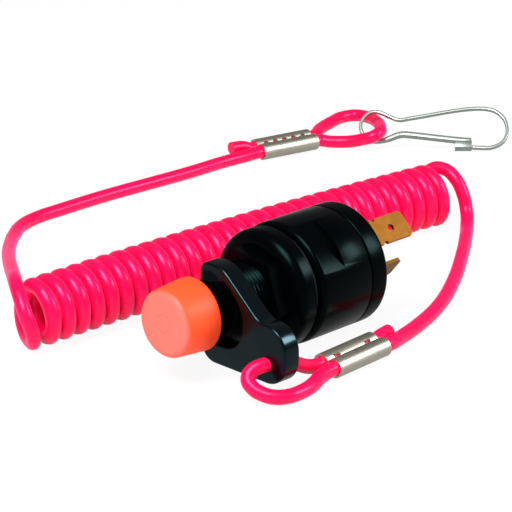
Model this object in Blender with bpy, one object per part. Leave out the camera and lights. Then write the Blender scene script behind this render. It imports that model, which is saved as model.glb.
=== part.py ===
"""Engine kill switch with its coiled lanyard, lying on a flat surface.

The switch lies along X with its terminals towards +X and its button towards -X. Z is up and the
surface is Z = 0. The origin is below the middle of the switch and its clip, without the lanyard.
All lengths are in metres. Stations along the switch are distances ahead of the rear rim.
"""

import math

import bmesh
import bpy
from mathutils import Matrix, Vector

# Clearances
FIT_GAP = 0.0003

# Housing: a round moulded shell with a threaded neck
BODY_RADIUS = 0.01365
HOUSING_LENGTH = 0.0152
SHOULDER_ROUND = 0.0014
FRONT_WALL = 0.0042
CHAMBER_WALL = 0.00305
NECK_RADIUS = 0.0075
NECK_LENGTH = 0.0174
NECK_CHAMFER = 0.0006

# Spanner flats: two shallow pockets on opposite sides of the housing
FLAT_DEPTH = 0.0015
FLAT_START = 0.0120
FLAT_LENGTH = 0.0064
FLAT_ANGLE = math.radians(50)

# Rear cap
CAP_LENGTH = 0.0042
CAP_CROWN = 0.0008
CAP_EDGE_ROUND = 0.0012
CAP_SPIGOT = 0.0009

# Panel nut: a hexagon on a round flange
SEAL_THICKNESS = 0.0009
SEAL_WIDTH = 0.0046
FLANGE_INSET = 0.00025
FLANGE_THICKNESS = 0.0050
FLANGE_ROUND = 0.0027
HEX_ACROSS_FLATS = 0.0184
HEX_HEIGHT = 0.0033
HEX_CHAMFER_RADIUS = 0.0102
HEX_CHAMFER_LENGTH = 0.0004
HEX_TURN = math.radians(50)

# Plunger and button
BUTTON_TRAVEL = 0.0020
PLUNGER_RADIUS = 0.0060
PLUNGER_COLLAR_LAP = 0.0005
PLUNGER_COLLAR = 0.0014
PLUNGER_PIN_RADIUS = 0.0016
RING_WIRE_RADIUS = 0.0006
RING_STATION = 0.0330
BUTTON_LENGTH = 0.0083
BUTTON_REAR_RADIUS = 0.0080
BUTTON_FRONT_RADIUS = 0.00735
BUTTON_FRONT_WALL = 0.0015
BUTTON_EDGE_ROUND = 0.0007

# Contacts
BASE_THICKNESS = 0.0012
STUD_RADIUS = 0.0012
STUD_HEAD_RADIUS = 0.0018
STUD_HEAD = 0.0007
BRIDGE_LAP = 0.0012
BRIDGE_THICKNESS = 0.0008
RETAINER_RIM = 0.0010
RETAINER_THICKNESS = 0.0006
RETURN_SPRING_WIRE = 0.0004
RETURN_SPRING_TURNS = 4
CONTACT_SPRING_RADIUS = 0.0030
CONTACT_SPRING_WIRE = 0.00025
CONTACT_SPRING_TURNS = 3

# Spade terminals
BLADE_WIDTH = 0.0063
BLADE_THICKNESS = 0.0008
BLADE_REACH = 0.0130
BLADE_CHAMFER = 0.0013
BLADE_HOLE_RADIUS = 0.00085
BLADE_HOLE_FROM_TIP = 0.0050
BLADE_NOTCH_RADIUS = 0.0006
BLADE_NOTCH_FROM_TIP = 0.0087
FOOT_WIDTH = 0.0040
FOOT_OVERHANG = 0.0018
OUTER_BLADE_ANGLE = math.radians(47)
INNER_BLADE_CIRCLE = 0.0052
INNER_BLADE_ANGLE = math.radians(-40)

# Lanyard clip: a fork round the plunger with a lug for the cord
CLIP_THICKNESS = 0.0044
CLIP_EDGE_ROUND = 0.0015
SLOT_END = 0.0113
SLOT_LOW_CORNER = 0.0050
SLOT_HIGH_CORNER = 0.0060
PRONG_REACH = 0.0009
PRONG_WIDTH = 0.0048
LUG_REACH = 0.0241
LUG_BOTTOM = 0.0110
LUG_TOP = 0.0019
LUG_NECK = 0.0077
LUG_NECK_ROUND = 0.0050
LUG_ROUND = 0.0055
SHOULDER_ACROSS = 0.0055
CLIP_SHOULDER_ROUND = 0.0070
PRONG_ROUND = 0.0022
CLIP_CORNER_ROUND = 0.0041
SLOT_MOUTH_ROUND = 0.0005
LUG_HOLE_INSET = 0.0049
LUG_HOLE_DROP = 0.0068
LUG_HOLE_RADIUS = 0.0025

# Lanyard cord
CORD_RADIUS = 0.0016
COIL_RADIUS = 0.0076
COIL_END_LEFT = (-0.0350, 0.0401)
COIL_END_RIGHT = (0.0804, 0.0328)
COIL_BOW = 0.0023
COIL_STEPS = 8
COIL_RESOLUTION = 8

# Ferrules: double-barrel crimp sleeves
FERRULE_WALL = 0.0003
FERRULE_LENGTH = 0.0165
CLIP_FERRULE_PLACE = (0.0026, -0.0147)
CLIP_FERRULE_HEADING = math.radians(3.6)
CLIP_FERRULE_ROLL = math.radians(4)
HOOK_FERRULE_PLACE = (0.0943, 0.0965)
HOOK_FERRULE_HEADING = math.radians(-12.5)
HOOK_FERRULE_ROLL = math.radians(4)
SLOT_NOTCH_LENGTH = 0.0016
SLOT_NOTCH_INSET = 0.0032
SCALLOP_RADIUS = 0.0005
SCALLOP_COUNT = 4

# Snap hook: one bent wire
HOOK_WIRE_RADIUS = 0.00055
HOOK_GATE_RADIUS = 0.00085
HOOK_EYE_PLACE = (0.1154, 0.0849)
HOOK_HEADING = math.radians(-46)
HOOK_LEAN = math.radians(50)
HOOK_CATCH_LENGTH = 0.0042
HOOK_CATCH_WIDTH = 0.0027

# Facets
ROUND_SIDES = 48
SMALL_SIDES = 24
WIRE_SIDES = 8

# Radii that follow the body's
CHAMBER_RADIUS = BODY_RADIUS - CHAMBER_WALL
FLANGE_RADIUS = BODY_RADIUS - FLANGE_INSET
OUTER_BLADE_CIRCLE = CHAMBER_RADIUS - FIT_GAP

# Radii that follow the neck's and the plunger's
SEAL_RADIUS = NECK_RADIUS + FIT_GAP + SEAL_WIDTH
RETAINER_RADIUS = PLUNGER_PIN_RADIUS + RETAINER_RIM
STUD_REACH = RETAINER_RADIUS + 2 * FIT_GAP + STUD_HEAD_RADIUS
BRIDGE_RADIUS = STUD_REACH + BRIDGE_LAP
RETURN_SPRING_RADIUS = STUD_REACH + STUD_HEAD_RADIUS + FIT_GAP + RETURN_SPRING_WIRE
PLUNGER_COLLAR_RADIUS = RETURN_SPRING_RADIUS + PLUNGER_COLLAR_LAP
LUG_HOLE_ACROSS = LUG_REACH - LUG_HOLE_INSET
SLOT_HALF_WIDTH = PLUNGER_RADIUS + FIT_GAP

# Stations ahead of the rear rim
HOUSING_REAR = CAP_LENGTH + FIT_GAP
SHOULDER = HOUSING_REAR + HOUSING_LENGTH
CHAMBER_FRONT = SHOULDER - FRONT_WALL
NECK_FRONT = SHOULDER + NECK_LENGTH
SEAL_REAR = SHOULDER + FIT_GAP
NUT_REAR = SEAL_REAR + SEAL_THICKNESS + FIT_GAP
FLANGE_FRONT = NUT_REAR + FLANGE_THICKNESS
CLIP_BACK = NECK_FRONT + FIT_GAP
CLIP_FRONT = CLIP_BACK + CLIP_THICKNESS
BUTTON_REAR = CLIP_FRONT + BUTTON_TRAVEL + FIT_GAP
BUTTON_FRONT = BUTTON_REAR + BUTTON_LENGTH
PLUNGER_FRONT = BUTTON_FRONT - BUTTON_FRONT_WALL - FIT_GAP
COLLAR_FRONT = CHAMBER_FRONT - FIT_GAP
COLLAR_REAR = COLLAR_FRONT - PLUNGER_COLLAR
SPIGOT_FRONT = CAP_LENGTH + CAP_SPIGOT
BASE_REAR = SPIGOT_FRONT + FIT_GAP
BASE_FRONT = BASE_REAR + BASE_THICKNESS
STUD_HEAD_REAR = BASE_FRONT + FIT_GAP
STUD_FRONT = STUD_HEAD_REAR + STUD_HEAD
BRIDGE_REAR = STUD_FRONT + BUTTON_TRAVEL + FIT_GAP
BRIDGE_FRONT = BRIDGE_REAR + BRIDGE_THICKNESS
RETAINER_FRONT = BRIDGE_REAR - FIT_GAP
RETAINER_REAR = RETAINER_FRONT - RETAINER_THICKNESS

# Where the switch lies: its middle and the clip's are over the origin
REAR_X = (BUTTON_FRONT - BLADE_REACH) / 2
AXIS_Y = (LUG_REACH - BODY_RADIUS) / 2
AXIS_Z = BODY_RADIUS

# Routes that the cord takes, as points on its centre line
CLIP_CORD_TAIL = [(0.0176, -0.0111, 0.0024), (0.0144, -0.0118, 0.0025)]
CLIP_CORD_LOOP = [
    (-0.0103, -0.0138, 0.0032),
    (-0.0136, -0.0142, 0.0048),
    (-0.0168, -0.0142, 0.0064),
    (-0.0199, -0.0140, 0.0068),
    (-0.0226, -0.0131, 0.0068),
    (-0.0250, -0.0121, 0.0059),
    (-0.0263, -0.0124, 0.0045),
    (-0.0265, -0.0139, 0.0032),
    (-0.0257, -0.0160, 0.0022),
    (-0.0243, -0.0180, 0.0017),
    (-0.0219, -0.0195, 0.0016),
    (-0.0185, -0.0198, 0.0016),
    (-0.0145, -0.0192, 0.0017),
    (-0.0104, -0.0177, 0.0020),
]
CLIP_CORD_LEAD = [
    (0.0190, -0.0139, 0.0017),
    (0.0269, -0.0116, 0.0016),
    (0.0373, -0.0076, 0.0016),
    (0.0500, -0.0006, 0.0016),
    (0.0664, 0.0107, 0.0016),
    (0.0756, 0.0177, 0.0016),
    (0.0814, 0.0224, 0.0020),
    (0.0843, 0.0251, 0.0042),
    (0.0850, 0.0270, 0.0080),
    (0.0850, 0.0296, 0.0114),
    (0.0848, 0.0333, 0.0128),
    (0.0839, 0.0360, 0.0127),
    (0.0821, 0.0371, 0.0124),
]
HOOK_CORD_LEAD = [
    (-0.0372, 0.0470, 0.0086),
    (-0.0381, 0.0472, 0.0064),
    (-0.0389, 0.0456, 0.0033),
    (-0.0407, 0.0417, 0.0017),
    (-0.0423, 0.0380, 0.0032),
    (-0.0431, 0.0363, 0.0070),
    (-0.0425, 0.0378, 0.0108),
    (-0.0406, 0.0422, 0.0130),
    (-0.0382, 0.0468, 0.0130),
    (-0.0351, 0.0513, 0.0122),
    (-0.0285, 0.0602, 0.0102),
    (-0.0221, 0.0685, 0.0081),
    (-0.0152, 0.0770, 0.0058),
    (-0.0075, 0.0858, 0.0036),
    (-0.0002, 0.0931, 0.0022),
    (0.0064, 0.0981, 0.0017),
    (0.0125, 0.1001, 0.0016),
    (0.0213, 0.1005, 0.0016),
    (0.0370, 0.1005, 0.0016),
    (0.0500, 0.0997, 0.0016),
    (0.0629, 0.0990, 0.0016),
    (0.0750, 0.0987, 0.0017),
    (0.0810, 0.0977, 0.0019),
]
HOOK_CORD_LOOP = [
    (0.1050, 0.0908, 0.0020),
    (0.1069, 0.0885, 0.0020),
    (0.1085, 0.0859, 0.0024),
    (0.1097, 0.0834, 0.0032),
    (0.1103, 0.0809, 0.0042),
    (0.1121, 0.0802, 0.0049),
    (0.1168, 0.0836, 0.0047),
    (0.1217, 0.0895, 0.0040),
    (0.1240, 0.0950, 0.0035),
    (0.1239, 0.0991, 0.0031),
    (0.1204, 0.1008, 0.0030),
    (0.1154, 0.1000, 0.0029),
    (0.1098, 0.0987, 0.0026),
]
HOOK_CORD_TAIL = [(0.0839, 0.1009, 0.0030), (0.0799, 0.1017, 0.0034)]

# The snap hook's wire in its own plane: along the hook, across it, gate side or not
HOOK_WIRE = [
    (0.0255, -0.0046, True),
    (0.0210, -0.0042, True),
    (0.0146, -0.0034, True),
    (0.0088, -0.0027, True),
    (0.0066, -0.0029, True),
    (0.0046, -0.0038, True),
    (0.0024, -0.0046, False),
    (0.0004, -0.0048, False),
    (-0.0018, -0.0038, False),
    (-0.0030, -0.0018, False),
    (-0.0032, 0.0006, False),
    (-0.0022, 0.0028, False),
    (-0.0002, 0.0042, False),
    (0.0020, 0.0040, False),
    (0.0045, 0.0027, False),
    (0.0068, 0.0018, False),
    (0.0092, 0.0022, False),
    (0.0140, 0.0032, False),
    (0.0190, 0.0043, False),
    (0.0240, 0.0052, False),
    (0.0285, 0.0055, False),
    (0.0318, 0.0048, False),
    (0.0340, 0.0028, False),
    (0.0349, 0.0002, False),
    (0.0348, -0.0026, False),
    (0.0335, -0.0050, False),
    (0.0310, -0.0064, False),
    (0.0280, -0.0066, False),
    (0.0235, -0.0063, False),
]


def clear_scene():
    """Remove what a new file holds."""
    for item in list(bpy.data.objects):
        bpy.data.objects.remove(item, do_unlink=True)


def make_material(name, colour, roughness, metallic=0.0):
    """A Principled material from a linear colour."""
    material = bpy.data.materials.new(name)
    material.use_nodes = True
    shader = material.node_tree.nodes["Principled BSDF"]
    shader.inputs["Base Color"].default_value = (*colour, 1.0)
    shader.inputs["Roughness"].default_value = roughness
    shader.inputs["Metallic"].default_value = metallic
    material.diffuse_color = (*colour, 1.0)
    return material


BLACK = (0.004, 0.005, 0.006)
ORANGE = (1.0, 0.14, 0.04)
RED = (1.0, 0.014, 0.10)
BRASS = (0.52, 0.32, 0.06)
NICKEL = (0.60, 0.60, 0.56)
STEEL = (0.55, 0.56, 0.56)
PHENOLIC = (0.10, 0.035, 0.015)


def add_object(name, mesh, material, parent=None):
    """Link a mesh as a named sub-part."""
    item = bpy.data.objects.new(name, mesh)
    bpy.context.scene.collection.objects.link(item)
    if material is not None:
        item.data.materials.append(material)
    item.parent = parent
    return item


def finish_mesh(name, bm, smooth_angle=math.radians(35)):
    """Close a bmesh into a mesh with outward faces and smooth round sides."""
    bmesh.ops.remove_doubles(bm, verts=bm.verts, dist=1e-7)
    bmesh.ops.recalc_face_normals(bm, faces=bm.faces)
    mesh = bpy.data.meshes.new(name)
    bm.to_mesh(mesh)
    bm.free()
    mesh.shade_smooth()
    mesh.set_sharp_from_angle(angle=smooth_angle)
    return mesh


def turned(name, profile, sides=ROUND_SIDES, closed=False):
    """Spin a profile of (station, radius) pairs about the switch's axis."""
    bm = bmesh.new()
    verts = [bm.verts.new((-station, 0.0, radius)) for station, radius in profile]
    pairs = list(zip(verts, verts[1:]))
    if closed:
        pairs.append((verts[-1], verts[0]))
    edges = [bm.edges.new(pair) for pair in pairs]
    bmesh.ops.spin(
        bm, geom=verts + edges, cent=(0, 0, 0), axis=(1, 0, 0),
        angle=math.tau, steps=sides, use_duplicate=False,
    )
    bmesh.ops.dissolve_degenerate(bm, edges=bm.edges, dist=1e-7)
    return finish_mesh(name, bm)


def quarter(station, radius, size, start, steps=4):
    """Points of a quarter round about a centre, from the angle start to start + 90 degrees."""
    points = []
    for step in range(steps + 1):
        angle = start + math.pi / 2 * step / steps
        points.append((station + size * math.cos(angle), radius + size * math.sin(angle)))
    return points


def block(name, low, high, frame=Matrix.Identity(4)):
    """A box between two corners, turned by a frame."""
    bm = bmesh.new()
    size = [b - a for a, b in zip(low, high)]
    middle = [(a + b) / 2 for a, b in zip(low, high)]
    matrix = frame @ Matrix.Translation(middle) @ Matrix.Diagonal((*size, 1.0))
    bmesh.ops.create_cube(bm, size=1.0, matrix=matrix)
    return finish_mesh(name, bm)


def drum(name, radius, low, high, frame=Matrix.Identity(4), sides=SMALL_SIDES):
    """A cylinder along X between two places, moved by a frame."""
    bm = bmesh.new()
    matrix = frame @ Matrix.Translation(((low + high) / 2, 0, 0)) @ Matrix.Rotation(math.pi / 2, 4, "Y")
    bmesh.ops.create_cone(
        bm, cap_ends=True, segments=sides, radius1=radius, radius2=radius,
        depth=high - low, matrix=matrix,
    )
    return finish_mesh(name, bm)


def boolean(item, tool_mesh, operation="DIFFERENCE"):
    """Cut a piece with a hidden tool, or join the tool to it."""
    tool = bpy.data.objects.new("tool_" + tool_mesh.name, tool_mesh)
    bpy.context.scene.collection.objects.link(tool)
    tool.hide_render = True
    tool.hide_viewport = False
    tool.display_type = "WIRE"
    tool.parent = item.parent
    step = item.modifiers.new(operation.title(), "BOOLEAN")
    step.operation = operation
    step.solver = "EXACT"
    step.object = tool
    return step


def polar(circle, angle):
    """A frame at a place round the switch's axis, its local Z pointing outwards."""
    outward = Vector((0, -math.cos(angle), math.sin(angle)))
    along = Vector((1, 0, 0))
    side = outward.cross(along)
    turn = Matrix((along, side, outward)).transposed().to_4x4()
    return Matrix.Translation(outward * circle) @ turn


def smooth_curve(points, step=0.0004):
    """A dense curve through points, with even steps, as a centripetal Catmull-Rom spline."""
    knots = [Vector(point) for point in points]
    knots = [knots[0] * 2 - knots[1]] + knots + [knots[-1] * 2 - knots[-2]]
    dense = []
    for a, b, c, d in zip(knots, knots[1:], knots[2:], knots[3:]):
        t1 = max((b - a).length, 1e-9) ** 0.5
        t2 = t1 + max((c - b).length, 1e-9) ** 0.5
        t3 = t2 + max((d - c).length, 1e-9) ** 0.5
        count = max(2, round((c - b).length / step))
        for index in range(count):
            t = t1 + (t2 - t1) * index / count
            ab = a * ((t1 - t) / t1) + b * (t / t1)
            bc = b * ((t2 - t) / (t2 - t1)) + c * ((t - t1) / (t2 - t1))
            cd = c * ((t3 - t) / (t3 - t2)) + d * ((t - t2) / (t3 - t2))
            abc = ab * ((t2 - t) / t2) + bc * (t / t2)
            bcd = bc * ((t3 - t) / (t3 - t1)) + cd * ((t - t1) / (t3 - t1))
            dense.append(abc * ((t2 - t) / (t2 - t1)) + bcd * ((t - t1) / (t2 - t1)))
    dense.append(knots[-2].copy())
    return dense


def thin_out(dense, longest=0.0085, bend=math.radians(24)):
    """Keep a point of a dense curve where it has turned by a bend or run its longest stretch."""
    kept = [dense[0]]
    heading = (dense[1] - dense[0]).normalized()
    for here, there in zip(dense[1:], dense[2:]):
        now = (there - here).normalized()
        if now.angle(heading, 0.0) >= bend or (here - kept[-1]).length >= longest:
            kept.append(here)
            heading = now
    if (dense[-1] - kept[-1]).length < longest / 4:
        kept.pop()
    kept.append(dense[-1])
    return kept


def tube(name, points, radius, material, parent=None, resolution=2, radii=None):
    """A round tube along points, as a curve with a bevel and closed ends."""
    curve = bpy.data.curves.new(name, "CURVE")
    curve.dimensions = "3D"
    curve.bevel_depth = radius
    curve.bevel_resolution = resolution
    curve.use_fill_caps = True
    spline = curve.splines.new("POLY")
    spline.points.add(len(points) - 1)
    for index, point in enumerate(points):
        spline.points[index].co = (*point, 1.0)
        spline.points[index].radius = radii[index] / radius if radii else 1.0
    return add_object(name, curve, material, parent)


def make_housing(switch, plastic):
    """The shell: a chamber open to the rear, a front wall and the threaded neck."""
    bore = PLUNGER_RADIUS + FIT_GAP
    body = turned("housing", [
        (HOUSING_REAR, CHAMBER_RADIUS),
        (HOUSING_REAR, BODY_RADIUS - FIT_GAP / 2),
        (HOUSING_REAR + FIT_GAP / 2, BODY_RADIUS),
        *reversed(quarter(SHOULDER - SHOULDER_ROUND, BODY_RADIUS - SHOULDER_ROUND, SHOULDER_ROUND, 0)),
        (SHOULDER, NECK_RADIUS),
        (NECK_FRONT - NECK_CHAMFER, NECK_RADIUS),
        (NECK_FRONT, NECK_RADIUS - NECK_CHAMFER),
        (NECK_FRONT, bore),
        (CHAMBER_FRONT, bore),
        (CHAMBER_FRONT, CHAMBER_RADIUS),
    ], closed=True)
    housing = add_object("housing", body, plastic, switch)
    for side in (0.0, math.pi):
        frame = polar(BODY_RADIUS - FLAT_DEPTH, FLAT_ANGLE + side)
        cut = block("flat", (-FLAT_START - FLAT_LENGTH, -BODY_RADIUS, 0),
                    (-FLAT_START, BODY_RADIUS, BODY_RADIUS), frame)
        boolean(housing, cut)


TERMINALS = (
    ("terminal_outer", OUTER_BLADE_CIRCLE, OUTER_BLADE_ANGLE, STUD_REACH),
    ("terminal_inner", INNER_BLADE_CIRCLE, INNER_BLADE_ANGLE, -STUD_REACH),
)


def foot_stations():
    """The rear and front of the terminals' feet, which lie in the cap."""
    front = CAP_LENGTH
    return front - BLADE_THICKNESS, front


def make_rear_cap(switch, plastic):
    """The cover at the rear, with a spigot in the chamber and a slot for each blade."""
    rear = -CAP_CROWN
    spigot = CHAMBER_RADIUS - FIT_GAP
    body = turned("rear_cap", [
        (rear, 0.0),
        (rear, BODY_RADIUS - CAP_EDGE_ROUND),
        *quarter(rear + CAP_EDGE_ROUND, BODY_RADIUS - CAP_EDGE_ROUND, CAP_EDGE_ROUND, math.pi / 2)[::-1][1:],
        (CAP_LENGTH - FIT_GAP / 2, BODY_RADIUS),
        (CAP_LENGTH, BODY_RADIUS - FIT_GAP / 2),
        (CAP_LENGTH, spigot),
        (SPIGOT_FRONT, spigot),
        (SPIGOT_FRONT, 0.0),
    ])
    cap = add_object("rear_cap", body, plastic, switch)
    foot_rear, _ = foot_stations()
    for name, circle, angle, stud_reach in TERMINALS:
        frame = polar(0.0, angle)
        inner_end = stud_reach - FOOT_OVERHANG
        half = BLADE_THICKNESS / 2 + FIT_GAP
        wide = BLADE_WIDTH / 2 + FIT_GAP
        boolean(cap, block("slot", (-SPIGOT_FRONT - FIT_GAP, -wide, circle - half),
                           (CAP_CROWN + FIT_GAP, wide, circle + half), frame))
        wide = FOOT_WIDTH / 2 + FIT_GAP
        boolean(cap, block("foot", (-SPIGOT_FRONT - FIT_GAP, -wide, inner_end - FIT_GAP),
                           (-foot_rear + FIT_GAP, wide, circle), frame))


def make_terminal(name, circle, angle, stud_reach, switch, metal):
    """A brass blade with chamfered tip, hole and notches, bent inwards to a foot."""
    frame = polar(circle, angle)
    half_width = BLADE_WIDTH / 2
    half = BLADE_THICKNESS / 2
    foot_rear, foot_front = foot_stations()
    outline = [
        (-foot_front, -half_width), (BLADE_REACH - BLADE_CHAMFER, -half_width),
        (BLADE_REACH, -half_width + BLADE_CHAMFER), (BLADE_REACH, half_width - BLADE_CHAMFER),
        (BLADE_REACH - BLADE_CHAMFER, half_width), (-foot_front, half_width),
    ]
    bm = bmesh.new()
    face = bm.faces.new([bm.verts.new(frame @ Vector((x, y, -half))) for x, y in outline])
    raised = bmesh.ops.extrude_face_region(bm, geom=[face])["geom"]
    lift = frame.to_3x3() @ Vector((0, 0, BLADE_THICKNESS))
    bmesh.ops.translate(bm, verts=[v for v in raised if isinstance(v, bmesh.types.BMVert)], vec=lift)
    blade = add_object(name, finish_mesh(name, bm, math.radians(20)), metal, switch)
    foot = block("foot_" + name, (-foot_front, -FOOT_WIDTH / 2, stud_reach - FOOT_OVERHANG - circle),
                 (-foot_rear, FOOT_WIDTH / 2, half / 2), frame)
    boolean(blade, foot, "UNION")
    upright = Matrix.Rotation(math.pi / 2, 4, "Y")
    hole_x = BLADE_REACH - BLADE_HOLE_FROM_TIP
    boolean(blade, drum("hole_" + name, BLADE_HOLE_RADIUS, -BLADE_WIDTH, BLADE_WIDTH,
                        frame @ Matrix.Translation((hole_x, 0, 0)) @ upright, sides=16))
    notch_x = BLADE_REACH - BLADE_NOTCH_FROM_TIP
    for side in (-half_width, half_width):
        boolean(blade, drum("notch_" + name, BLADE_NOTCH_RADIUS, -BLADE_WIDTH, BLADE_WIDTH,
                            frame @ Matrix.Translation((notch_x, side, 0)) @ upright, sides=12))


def make_contacts(switch, brass, phenolic, steel):
    """The base plate, its two studs and the blades that they are riveted to."""
    plate = CHAMBER_RADIUS - FIT_GAP
    base = add_object("contact_base", turned("contact_base", [
        (BASE_REAR, 0.0), (BASE_REAR, plate), (BASE_FRONT, plate), (BASE_FRONT, 0.0),
    ]), phenolic, switch)
    for name, circle, angle, stud_reach in TERMINALS:
        make_terminal(name, circle, angle, stud_reach, switch, brass)
        frame = polar(stud_reach, angle)
        boolean(base, drum("stud_hole", STUD_RADIUS + FIT_GAP, -BASE_FRONT - FIT_GAP,
                           -BASE_REAR + FIT_GAP, frame))
        stud = turned("stud", [
            (CAP_LENGTH + FIT_GAP, 0.0), (CAP_LENGTH + FIT_GAP, STUD_RADIUS),
            (STUD_HEAD_REAR, STUD_RADIUS), (STUD_HEAD_REAR, STUD_HEAD_RADIUS),
            (STUD_FRONT, STUD_HEAD_RADIUS), (STUD_FRONT, 0.0),
        ], SMALL_SIDES)
        item = add_object(name.replace("terminal", "contact_stud"), stud, steel, switch)
        item.location = frame.to_translation()


def make_panel_nut(switch, plastic, rubber):
    """The flanged hexagon nut and the sealing washer behind it."""
    nut_front = FLANGE_FRONT + HEX_HEIGHT
    bore = NECK_RADIUS + FIT_GAP
    vertex = HEX_ACROSS_FLATS / 2 / math.cos(math.pi / 6)
    nut = add_object("panel_nut", turned("panel_nut", [
        (NUT_REAR, bore), (NUT_REAR, FLANGE_RADIUS),
        *reversed(quarter(FLANGE_FRONT - FLANGE_ROUND, FLANGE_RADIUS - FLANGE_ROUND, FLANGE_ROUND, 0, 3)),
        (FLANGE_FRONT, bore),
    ], closed=True), plastic, switch)
    blank = turned("hexagon", [
        (FLANGE_FRONT - FLANGE_ROUND, bore), (FLANGE_FRONT - FLANGE_ROUND, vertex),
        (nut_front - HEX_CHAMFER_LENGTH, vertex), (nut_front, HEX_CHAMFER_RADIUS),
        (nut_front, bore),
    ], closed=True)
    hexagon = add_object("hexagon_blank", blank, None, switch)
    prism = drum("prism", vertex, -nut_front - FIT_GAP, -FLANGE_FRONT + FLANGE_THICKNESS / 2,
                 Matrix.Rotation(HEX_TURN - math.pi / 2, 4, "X"), sides=6)
    boolean(hexagon, prism, "INTERSECT")
    hexagon.hide_render = True
    hexagon.display_type = "WIRE"
    join = nut.modifiers.new("Union", "BOOLEAN")
    join.operation = "UNION"
    join.solver = "EXACT"
    join.object = hexagon
    add_object("panel_seal", turned("panel_seal", [
        (SEAL_REAR, bore), (SEAL_REAR, SEAL_RADIUS),
        (SEAL_REAR + SEAL_THICKNESS, SEAL_RADIUS), (SEAL_REAR + SEAL_THICKNESS, bore),
    ], closed=True), rubber, switch)


def coil_spring(name, radius, wire, turns, rear, front, steel, parent):
    """A helical spring about the switch's axis."""
    steps = 16
    points = []
    for index in range(turns * steps + 1):
        angle = math.tau * index / steps
        station = rear + (front - rear) * index / (turns * steps)
        points.append((-station, radius * math.sin(angle), radius * math.cos(angle)))
    return tube(name, points, wire, steel, parent, resolution=1)


def make_plunger(switch, orange, plastic, rubber, steel, brass):
    """Everything that the button pushes: its own parent lies on the slide's axis."""
    press = bpy.data.objects.new("button_slide", None)
    bpy.context.scene.collection.objects.link(press)
    press.parent = switch
    groove = PLUNGER_RADIUS - 2 * RING_WIRE_RADIUS - FIT_GAP / 2
    groove_half = RING_WIRE_RADIUS + FIT_GAP
    pin_end = RETAINER_REAR
    add_object("plunger", turned("plunger", [
        (pin_end, 0.0), (pin_end, PLUNGER_PIN_RADIUS), (COLLAR_REAR, PLUNGER_PIN_RADIUS),
        (COLLAR_REAR, PLUNGER_COLLAR_RADIUS), (COLLAR_FRONT, PLUNGER_COLLAR_RADIUS),
        (COLLAR_FRONT, PLUNGER_RADIUS),
        (RING_STATION - groove_half, PLUNGER_RADIUS), (RING_STATION - groove_half, groove),
        (RING_STATION + groove_half, groove), (RING_STATION + groove_half, PLUNGER_RADIUS),
        (PLUNGER_FRONT, PLUNGER_RADIUS), (PLUNGER_FRONT, 0.0),
    ]), plastic, press)
    ring_radius = PLUNGER_RADIUS - RING_WIRE_RADIUS + FIT_GAP / 2
    ring = [(RING_STATION + RING_WIRE_RADIUS * math.cos(math.tau * k / 8),
             ring_radius + RING_WIRE_RADIUS * math.sin(math.tau * k / 8)) for k in range(8)]
    add_object("plunger_seal", turned("plunger_seal", ring, closed=True), rubber, press)

    socket = PLUNGER_RADIUS + FIT_GAP
    inner = BUTTON_FRONT - BUTTON_FRONT_WALL
    edge = BUTTON_EDGE_ROUND
    add_object("button_cap", turned("button_cap", [
        (inner, 0.0), (inner, socket), (BUTTON_REAR, socket),
        *quarter(BUTTON_REAR + edge, BUTTON_REAR_RADIUS - edge, edge, math.pi / 2, 3)[::-1],
        *reversed(quarter(BUTTON_FRONT - edge, BUTTON_FRONT_RADIUS - edge, edge, 0, 4)),
        (BUTTON_FRONT, 0.0),
    ]), orange, press)

    pin_clear = PLUNGER_PIN_RADIUS + FIT_GAP
    add_object("contact_bridge", turned("contact_bridge", [
        (BRIDGE_REAR, pin_clear), (BRIDGE_REAR, BRIDGE_RADIUS),
        (BRIDGE_FRONT, BRIDGE_RADIUS), (BRIDGE_FRONT, pin_clear),
    ], SMALL_SIDES, closed=True), brass, press)
    add_object("bridge_retainer", turned("bridge_retainer", [
        (RETAINER_REAR, pin_clear), (RETAINER_REAR, RETAINER_RADIUS),
        (RETAINER_FRONT, RETAINER_RADIUS), (RETAINER_FRONT, pin_clear),
    ], SMALL_SIDES, closed=True), steel, press)
    clear = FIT_GAP + CONTACT_SPRING_WIRE
    coil_spring("contact_spring", CONTACT_SPRING_RADIUS, CONTACT_SPRING_WIRE, CONTACT_SPRING_TURNS,
                BRIDGE_FRONT + clear, COLLAR_REAR - clear, steel, press)
    clear = FIT_GAP + RETURN_SPRING_WIRE
    coil_spring("return_spring", RETURN_SPRING_RADIUS, RETURN_SPRING_WIRE, RETURN_SPRING_TURNS,
                BASE_FRONT + clear, COLLAR_REAR - clear, steel, switch)


def rounded_outline(corners, steps=5):
    """An outline of straight runs with each corner rounded, from (across, up, radius) corners."""
    outline = []
    count = len(corners)
    for index, (across, up, radius) in enumerate(corners):
        here = Vector((across, up))
        before = Vector(corners[index - 1][:2])
        after = Vector(corners[(index + 1) % count][:2])
        into = (here - before).normalized()
        out = (after - here).normalized()
        turn = into.angle_signed(out)
        reach = radius * math.tan(abs(turn) / 2)
        start = here - into * reach
        side = Vector((into.y, -into.x)) * (1 if turn > 0 else -1)
        centre = start + side * radius
        spoke = start - centre
        for step in range(steps + 1):
            angle = -turn * step / steps
            turned_spoke = Matrix.Rotation(angle, 2) @ spoke
            outline.append(centre + turned_spoke)
    return outline


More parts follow.
